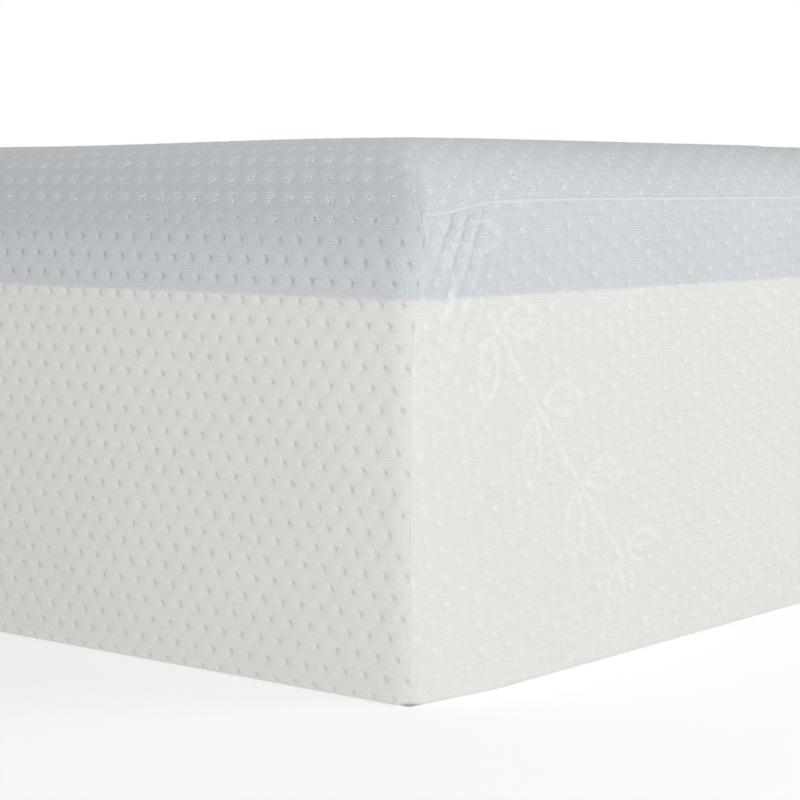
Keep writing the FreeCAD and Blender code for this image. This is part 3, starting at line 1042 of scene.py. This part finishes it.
def soft_block(low, high, radius):
    """A block whose upright and upper edges are rounded by the same radius."""
    bm = rounded_block(low, high, 0)
    upper = [edge for edge in bm.edges if (edge.verts[0].co.z + edge.verts[1].co.z) / 2 > low.z + MM]
    round_edges(bm, upper, radius, 8)
    return bm


# ------------------------------------------------------------------- operators


class Builder:
    """What every operator of the mattress has in common."""

    bl_options = {"REGISTER", "UNDO"}

    def execute(self, context):
        scene = context.scene
        self.build(scene, scene.mattress_sizes, scene.mattress_colours)
        return {"FINISHED"}


class MATTRESS_OT_foam(Builder, bpy.types.Operator):
    """Build the two foam layers and finish the bond between them"""

    bl_idname = "mattress.foam"
    bl_label = "Foam layers"

    def build(self, scene, sizes, colours):
        gap = Vector((FOAM_GAP, FOAM_GAP, 0))
        high = MEMORY_HIGH - gap - Vector((0, 0, FOAM_GAP))
        memory = soft_block(MEMORY_LOW + gap, high, sizes.top_radius - FOAM_GAP)
        foam = open_cell_foam("memory_foam", colours.memory_foam, cell=0.6)
        piece = new_piece("memory_foam_block", memory, foam)
        fit(piece, "memory_layer")

        core = rounded_block(CORE_LOW + gap, CORE_HIGH - gap, 4 * MM, 3)
        self.press_groove(core, LOWER_TAPE[0].z, UPPER_TAPE[1].z, UPPER_TAPE[0].y - 3 * MM)
        foam = open_cell_foam("support_foam", colours.core_foam, cell=0.9)
        piece = new_piece("support_foam_block", core, foam, False)
        fit(piece, "support_core")
        repaint("adhesive_film", dried_glue("dried_bond"))

    def press_groove(self, bm, low, high, floor):
        """Presses a groove behind the zip into the rear of the core, down to a place on Y."""
        for height in (low, high):
            whole = bm.verts[:] + bm.edges[:] + bm.faces[:]
            bmesh.ops.bisect_plane(bm, geom=whole, plane_co=(0, 0, height), plane_no=(0, 0, 1))
        rear = [
            face for face in bm.faces if face.normal.y > 0.99 and low < face.calc_center_median().z < high
        ]
        bmesh.ops.inset_region(bm, faces=rear, thickness=0.5 * MM, use_even_offset=True)
        verts = list({vert for face in rear for vert in face.verts})
        bmesh.ops.translate(bm, vec=(0, floor - CORE_HIGH.y + FOAM_GAP, 0), verts=verts)


class MATTRESS_OT_main_panel(Builder, bpy.types.Operator):
    """Build the knitted panel over the top and both long sides"""

    bl_idname = "mattress.main_panel"
    bl_label = "Main panel"

    def build(self, scene, sizes, colours):
        bm, flat = main_panel(sizes)
        cloth = knit_cloth("knit_main", sizes, colours, SIDE_DIMPLES, False, MAIN_SPRIGS)
        piece = new_piece("cover_main_cloth", bm, cloth)
        fit(piece, "cover_main_panel")


class MATTRESS_OT_end_panels(Builder, bpy.types.Operator):
    """Build the knitted panel of each end, with its gathers"""

    bl_idname = "mattress.end_panels"
    bl_label = "End panels"

    def build(self, scene, sizes, colours):
        cloth = knit_cloth("knit_end", sizes, colours, END_DIMPLES, True, END_SPRIGS)
        for word, sign in (("right", 1), ("left", -1)):
            piece = new_piece(f"cover_end_cloth_{word}", end_panel(sizes, sign), cloth)
            fit(piece, f"cover_end_panel_{word}")


class MATTRESS_OT_base_panel(Builder, bpy.types.Operator):
    """Build the plain cloth under the mattress"""

    bl_idname = "mattress.base_panel"
    bl_label = "Base panel"

    def build(self, scene, sizes, colours):
        bm, flat = base_panel(sizes)
        piece = new_piece("cover_base_cloth", bm, knit_cloth("knit_base", sizes, PlainBase(colours)))
        fit(piece, "cover_base_panel")


class PlainBase:
    """The base cloth's colours: the foam doesn't show through it."""

    def __init__(self, colours):
        self.over_core = self.over_memory = colours.base_cloth


class MATTRESS_OT_seams(Builder, bpy.types.Operator):
    """Build the turned seams between the panels"""

    bl_idname = "mattress.seams"
    bl_label = "Seams"

    def build(self, scene, sizes, colours):
        cloth = seam_cloth("turned_seam", colours)
        for word, sign in (("right", 1), ("left", -1)):
            route = end_seam_route(sizes, sign)
            shares = [0.5 + 0.5 * float(ease(1 - (SEAM_Z - place[2]) / (14 * MM))) for place in route]
            seam = rope(f"end_seam_welt_{word}", route, sizes.welt, cloth, shares)
            fit(seam, f"end_seam_{word}")
        welt = sizes.welt * 0.6
        seam = rope("base_seam_welt", base_seam_route(sizes, welt), welt, cloth)
        fit(seam, "base_seam")


class MATTRESS_OT_zip_tapes(Builder, bpy.types.Operator):
    """Build the two woven tapes of the zip"""

    bl_idname = "mattress.zip_tapes"
    bl_label = "Zip tapes"

    def build(self, scene, sizes, colours):
        weave = woven_tape("zip_tape_weave", colours.zip_nylon)
        for word, (low, high) in (("upper", UPPER_TAPE), ("lower", LOWER_TAPE)):
            bm = rounded_block(low, high, 0.12 * MM, 2)
            piece = new_piece(f"zip_tape_cloth_{word}", bm, weave)
            fit(piece, f"zip_tape_{word}")


class MATTRESS_OT_zip_coils(Builder, bpy.types.Operator):
    """Build the two rows of nylon loops"""

    bl_idname = "mattress.zip_coils"
    bl_label = "Zip coils"

    def build(self, scene, sizes, colours):
        smooth = nylon("zip_nylon", colours.zip_nylon)
        for word, (low, high), side in (("upper", UPPER_COIL, 1), ("lower", LOWER_COIL, -1)):
            bm = self.tooth(low, high, side)
            count = int((high.x - low.x) / sizes.tooth_pitch) - 1
            start = low.x + sizes.tooth_pitch * (0.5 if side > 0 else 1.0)
            bm = row_of(bm, count, sizes.tooth_pitch, Vector((start, 0, 0)))
            piece = new_piece(f"zip_loops_{word}", bm, smooth)
            fit(piece, f"zip_coil_{word}")

    def tooth(self, low, high, side):
        """One loop of a coil, round its core, with its head past the middle line."""
        overlap = 0.55 * MM
        head = ZIP_Z - side * overlap
        heel = high.z if side > 0 else low.z
        centre = Vector((0, (low.y + high.y) / 2, (head + heel) / 2))
        wire = 0.42 * MM
        bm = bmesh.new()
        bmesh.ops.create_circle(bm, segments=5, radius=wire, matrix=Matrix.Translation((0, 1, 0)))
        ring = bm.verts[:] + bm.edges[:]
        bmesh.ops.spin(bm, geom=ring, cent=(0, 0, 0), axis=(1, 0, 0), angle=TAU, steps=9, use_merge=True)
        bmesh.ops.remove_doubles(bm, verts=bm.verts, dist=1e-7)
        half_y, half_z = (high.y - low.y) / 2, abs(heel - head) / 2
        for vert in bm.verts:
            spoke = Vector((vert.co.y, vert.co.z))
            way = spoke.normalized()
            off = spoke.length - 1
            vert.co.y = way.x * (half_y - wire + off)
            vert.co.z = way.y * (half_z - wire + off)
        bmesh.ops.translate(bm, vec=centre, verts=bm.verts)
        bmesh.ops.recalc_face_normals(bm, faces=bm.faces[:])
        return bm


class MATTRESS_OT_stitching(Builder, bpy.types.Operator):
    """Build the rows of stitches beside the zip and the bar tacks at its ends"""

    bl_idname = "mattress.stitching"
    bl_label = "Zip stitching"

    def build(self, scene, sizes, colours):
        thread = spun_thread("sewing_thread", colours.thread)
        for word in ("upper", "lower"):
            low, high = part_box(f"zip_stitching_{word}")
            bm = capsule(sizes.stitch_pitch * 0.8, 0.28 * MM)
            count = int((high.x - low.x) / sizes.stitch_pitch) - 1
            start = Vector((low.x + sizes.stitch_pitch, (low.y + high.y) / 2, (low.z + high.z) / 2))
            bm = row_of(bm, count, sizes.stitch_pitch, start)
            piece = new_piece(f"zip_stitches_{word}", bm, thread)
            fit(piece, f"zip_stitching_{word}")

        low, high = TACKS
        places = []
        for side in (-1, 1):
            for step in range(TACK_STITCHES):
                height = low.z + (high.z - low.z) * (step + 0.5) / TACK_STITCHES
                place = (side * (high.x - 3 * MM), (low.y + high.y) / 2, height)
                slant = Matrix.Rotation(TACK_SLANT if step % 2 else -TACK_SLANT, 4, "Y")
                places.append(Matrix.Translation(place) @ slant)
        piece = new_piece("zip_bar_tacks", copies(capsule(2.4 * MM, 0.26 * MM), places), thread)
        fit(piece, "zip_bartacks")


class MATTRESS_OT_zip_metal(Builder, bpy.types.Operator):
    """Finish the slider, its tab and the end stops"""

    bl_idname = "mattress.zip_metal"
    bl_label = "Zip metal"

    def build(self, scene, sizes, colours):
        metal = cast_metal("nickel_finish", colours.zip_metal)
        for node in ("zip_slider_body", "zip_pull_tab", "zip_stop_right", "zip_stop_left"):
            repaint(node, metal)


class MATTRESS_OT_label(Builder, bpy.types.Operator):
    """Build the blank care label and the stitches round it"""

    bl_idname = "mattress.label"
    bl_label = "Care label"

    def build(self, scene, sizes, colours):
        low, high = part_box("care_label")
        bm = flat_cloth(even_steps((low.z, high.z, 2 * MM)), even_steps((low.y, high.y, 2 * MM)))
        keep_flat_places(bm)
        flat = places_of(bm)
        across, upright = flat[:, 1], flat[:, 0]
        edge = np.min([across - low.y, high.y - across, upright - low.z, high.z - upright], axis=0)
        swell = 0.5 * MM * ease(edge / (9 * MM)) * (1 + 0.4 * np.sin(across / (9 * MM)))
        points = np.stack([np.full(len(flat), low.x), across, upright], axis=1)
        points[:, 0] -= swell + side_bulge(points, sizes) + toe(points, sizes)
        move_to(bm, points)
        face_towards(bm, Vector((-1, 0, 0)))
        piece = new_piece("blank_care_label", bm, satin_label("label_satin", colours.label))
        thick = piece.modifiers.new("thickness", "SOLIDIFY")
        thick.thickness = 0.35 * MM
        thick.offset = -1
        fit(piece, "care_label")

        inner_low, inner_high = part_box("care_label_stitching")
        pitch = sizes.stitch_pitch
        ways = {"Z": [], "Y": []}
        for z in (inner_low.z, inner_high.z):
            ways["Z"] += [(low.x, y, z) for y in even_steps((inner_low.y, inner_high.y, pitch))]
        for y in (inner_low.y, inner_high.y):
            ways["Y"] += [(low.x, y, z) for z in even_steps((inner_low.z, inner_high.z, pitch))[1:-1]]
        places = []
        for axis, points in ways.items():
            points = np.array(points)
            points[:, 0] -= side_bulge(points, sizes) + toe(points, sizes) + 0.55 * MM
            turn = Matrix.Rotation(math.pi / 2, 4, axis)
            places += [Matrix.Translation(point) @ turn for point in points]
        thread = spun_thread("label_thread", colours.thread)
        piece = new_piece("care_label_stitches", copies(capsule(pitch * 0.75, 0.24 * MM), places), thread)
        fit(piece, "care_label_stitching")


# Where the camera stands, measured from the foot of the front right corner.
CAMERA_FROM_CORNER = Vector((0.4553, -0.5670, 0.1687))
CAMERA_YAW = math.radians(39.05)
CAMERA_PITCH = math.radians(5.395)
CAMERA_ROLL = math.radians(0.09)
CAMERA_LENS = 103.4

# The strength of the light from all round, and the lamps: name, place from the corner, size, power and tint.
AMBIENT = 0.36
WHITE = (1.0, 1.0, 1.0)
LAMPS = (
    ("front_softbox", (0.6, -0.8, 0.4), 0.6, 3.8, WHITE),
    ("end_softbox", (0.8, 0.6, 0.3), 0.6, 2.74, (0.945, 1.0, 1.0)),
    ("top_softbox", (0.35, -0.35, 1.3), 0.8, 2.4, WHITE),
    ("overhead_softbox", (-0.95, 0.45, 2.6), 2.6, 5.0, WHITE),
    ("rear_softbox", (-3.2, 2.6, 2.0), 3.0, 30.0, WHITE),
)


class MATTRESS_OT_stage(Builder, bpy.types.Operator):
    """Set up the floor, the studio lights and the camera"""

    bl_idname = "mattress.stage"
    bl_label = "Stage"

    def build(self, scene, sizes, colours):
        bm = bmesh.new()
        bmesh.ops.create_grid(bm, x_segments=4, y_segments=4, size=14.0)
        floor = new_piece("studio_floor", bm, studio_floor("floor_paper"))

        world = bpy.data.worlds.new("studio")
        world.use_nodes = True
        tree = world.node_tree
        path = tree.nodes.new("ShaderNodeLightPath")
        level = tree.nodes.new("ShaderNodeMapRange")
        level.inputs["To Min"].default_value = AMBIENT
        level.inputs["To Max"].default_value = 1.0
        tree.links.new(path.outputs["Is Camera Ray"], level.inputs["Value"])
        tree.nodes["Background"].inputs["Color"].default_value = (1.0, 1.0, 1.0, 1.0)
        tree.links.new(level.outputs["Result"], tree.nodes["Background"].inputs["Strength"])
        scene.world = world

        corner = Vector((END, -SIDE, TOP / 2))
        for name, offset, size, power, tint in LAMPS:
            self.lamp(scene, name, corner + Vector(offset), corner, size, power, tint)

        eye = bpy.data.cameras.new("camera")
        eye.lens = CAMERA_LENS
        eye.sensor_width = 36.0
        eye.clip_start = 0.01
        camera = bpy.data.objects.new("camera", eye)
        scene.collection.objects.link(camera)
        turn = (
            Matrix.Rotation(CAMERA_YAW, 4, "Z")
            @ Matrix.Rotation(math.pi / 2 - CAMERA_PITCH, 4, "X")
            @ Matrix.Rotation(CAMERA_ROLL, 4, "Z")
        )
        camera.matrix_world = Matrix.Translation(Vector((END, -SIDE, 0)) + CAMERA_FROM_CORNER) @ turn
        scene.camera = camera
        scene.view_settings.view_transform = "Standard"
        scene.view_settings.look = "None"

    def lamp(self, scene, name, place, target, size, power, tint):
        """A soft square lamp that faces a point."""
        light = bpy.data.lights.new(name, "AREA")
        light.shape = "SQUARE"
        light.size = size
        light.energy = power
        light.color = tint
        lamp = bpy.data.objects.new(name, light)
        scene.collection.objects.link(lamp)
        turn = (target - place).to_track_quat("-Z", "Y")
        lamp.matrix_world = Matrix.Translation(place) @ turn.to_matrix().to_4x4()


OPERATORS = (
    MATTRESS_OT_foam,
    MATTRESS_OT_main_panel,
    MATTRESS_OT_end_panels,
    MATTRESS_OT_base_panel,
    MATTRESS_OT_seams,
    MATTRESS_OT_zip_tapes,
    MATTRESS_OT_zip_coils,
    MATTRESS_OT_stitching,
    MATTRESS_OT_zip_metal,
    MATTRESS_OT_label,
    MATTRESS_OT_stage,
)


class MATTRESS_PT_panel(bpy.types.Panel):
    """The mattress's settings and the buttons that build its pieces"""

    bl_idname = "MATTRESS_PT_panel"
    bl_label = "Memory foam mattress"
    bl_space_type = "VIEW_3D"
    bl_region_type = "UI"
    bl_category = "Mattress"

    def draw(self, context):
        for group in (context.scene.mattress_sizes, context.scene.mattress_colours):
            column = self.layout.column(align=True)
            for name in group.__annotations__:
                column.prop(group, name)
        column = self.layout.column(align=True)
        for operator in OPERATORS:
            column.operator(operator.bl_idname)


CLASSES = (MattressSizes, MattressColours, *OPERATORS, MATTRESS_PT_panel)


def register():
    for item in CLASSES:
        bpy.utils.register_class(item)
    bpy.types.Scene.mattress_sizes = PointerProperty(type=MattressSizes)
    bpy.types.Scene.mattress_colours = PointerProperty(type=MattressColours)


def unregister():
    del bpy.types.Scene.mattress_colours
    del bpy.types.Scene.mattress_sizes
    for item in reversed(CLASSES):
        bpy.utils.unregister_class(item)


def main():
    register()
    for operator in OPERATORS:
        group, name = operator.bl_idname.split(".")
        getattr(getattr(bpy.ops, group), name)()


if __name__ == "__main__":
    main()
